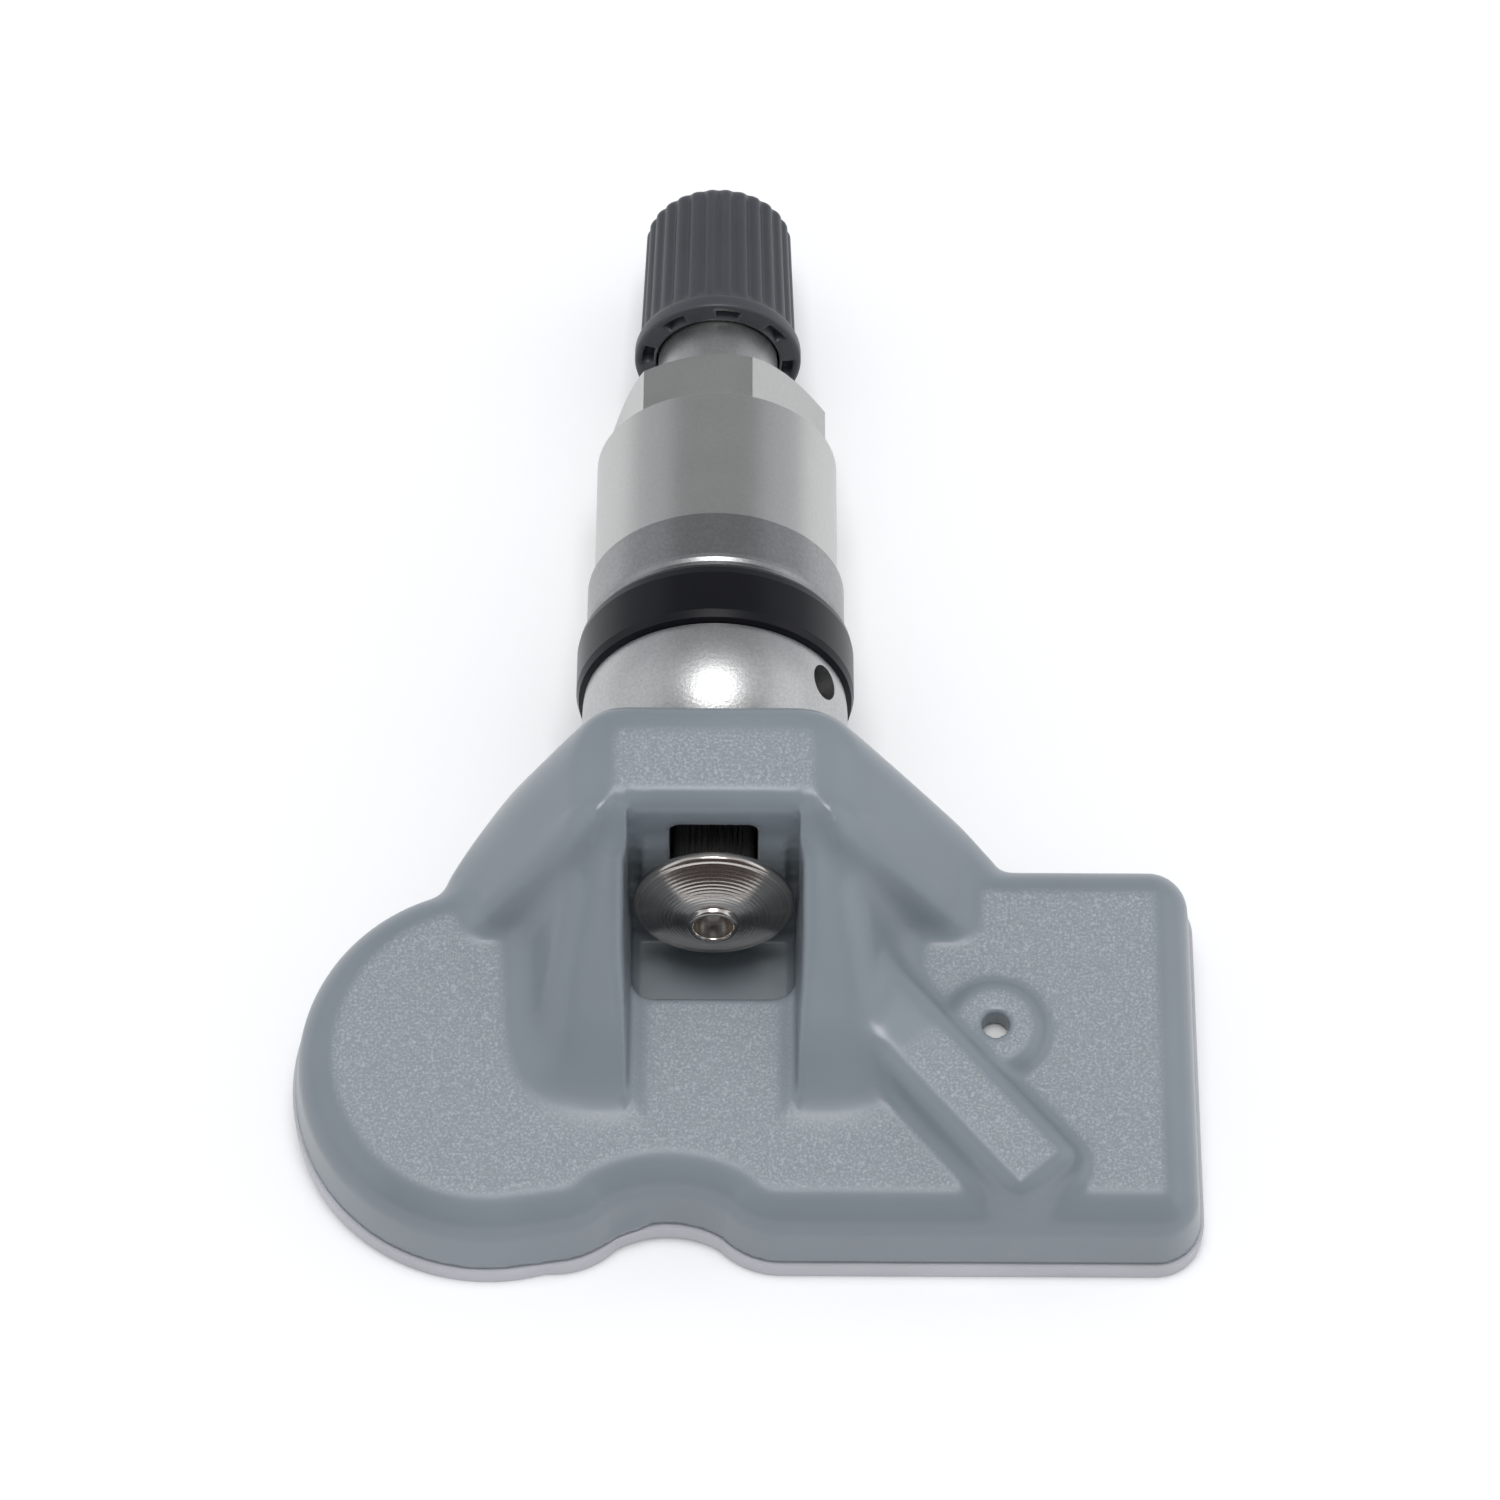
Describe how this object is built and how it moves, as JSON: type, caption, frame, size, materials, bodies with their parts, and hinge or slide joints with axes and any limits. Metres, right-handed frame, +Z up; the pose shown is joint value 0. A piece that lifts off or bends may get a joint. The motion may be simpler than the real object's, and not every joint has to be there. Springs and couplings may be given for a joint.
{
  "type": "tyre pressure sensor",
  "caption": "Wheel-mounted tyre pressure sensor: moulded housing with a round and a square lobe, swivelling clamp-in metal valve, grommet, washer, collar nut and fluted cap.",
  "frame": {"origin": "on the valve axis, at the face of the grommet and washer that meet the wheel rim", "axes": "+Z up as it lies on a table, +Y along the valve towards its cap (sloping down by 5.51 degrees), +X to the right"},
  "size_m": [0.054, 0.074, 0.0183],
  "materials": {
    "housing_plastic": "moulded plastic, fine grain on the flat faces, smooth on the slopes",
    "cover_plastic": "paler smooth plastic",
    "board": "green circuit board",
    "cell_steel": "satin steel can",
    "tab_nickel": "nickel strip",
    "chip_plastic": "black moulded package",
    "crystal_can": "steel can",
    "ferrite": "dark sintered core",
    "copper": "enamelled copper wire",
    "soft_rubber": "soft black rubber",
    "membrane": "white porous film",
    "valve_metal": "fine blasted aluminium",
    "screw_nickel": "turned and nickel plated",
    "grommet_rubber": "smooth black rubber",
    "washer_steel": "dull grey coated steel",
    "nut_metal": "satin turned aluminium",
    "cap_plastic": "dark grey moulded plastic",
    "core_brass": "turned brass",
    "core_ring": "red sealing ring",
    "spring_steel": "spring wire"
  },
  "bodies": {
    "sensor": {"housing_shell": "housing_plastic", "base_cover": "cover_plastic", "circuit_board": "board", "battery_cell": "cell_steel", "battery_tab_top": "tab_nickel", "battery_tab_bottom": "tab_nickel", "pressure_chip": "chip_plastic", "radio_chip": "chip_plastic", "crystal": "crystal_can", "antenna_ferrite": "ferrite", "antenna_winding": "copper", "port_gasket": "soft_rubber", "vent_membrane": "membrane"},
    "valve": {"valve_stem": "valve_metal", "hollow_screw": "screw_nickel", "rubber_grommet": "grommet_rubber", "thrust_washer": "washer_steel", "core_body": "core_brass", "core_gasket": "core_ring", "core_spring": "spring_steel"},
    "nut": {"collar_nut": "nut_metal"},
    "seal": {"cap_seal": "soft_rubber"},
    "cap": {"valve_cap": "cap_plastic"},
    "plunger": {"core_pin": "core_brass", "core_seal": "soft_rubber"}
  },
  "joints": [
    {"name": "valve_swivel", "type": "hinge", "parent": "sensor", "child": "valve", "pos_m": [0, -0.00557, 0.00054], "axis": [1, 0, 0], "range_deg": [-10, 6]},
    {"name": "nut_turn", "type": "hinge", "parent": "valve", "child": "nut", "pos_m": [0, 0, 0], "axis": [0, 0.9954, -0.096], "continuous": true},
    {"name": "cap_travel", "type": "slide", "parent": "valve", "child": "seal", "axis": [0, 0.9954, -0.096], "range_m": [0, 0.012]},
    {"name": "cap_turn", "type": "hinge", "parent": "seal", "child": "cap", "pos_m": [0, 0, 0], "axis": [0, 0.9954, -0.096], "continuous": true},
    {"name": "core_press", "type": "slide", "parent": "valve", "child": "plunger", "axis": [0, -0.9954, 0.096], "range_m": [0, 0.001], "stiffness_N_per_m": 800, "springref_m": -0.001, "deforming": ["core_spring"]}
  ]
}
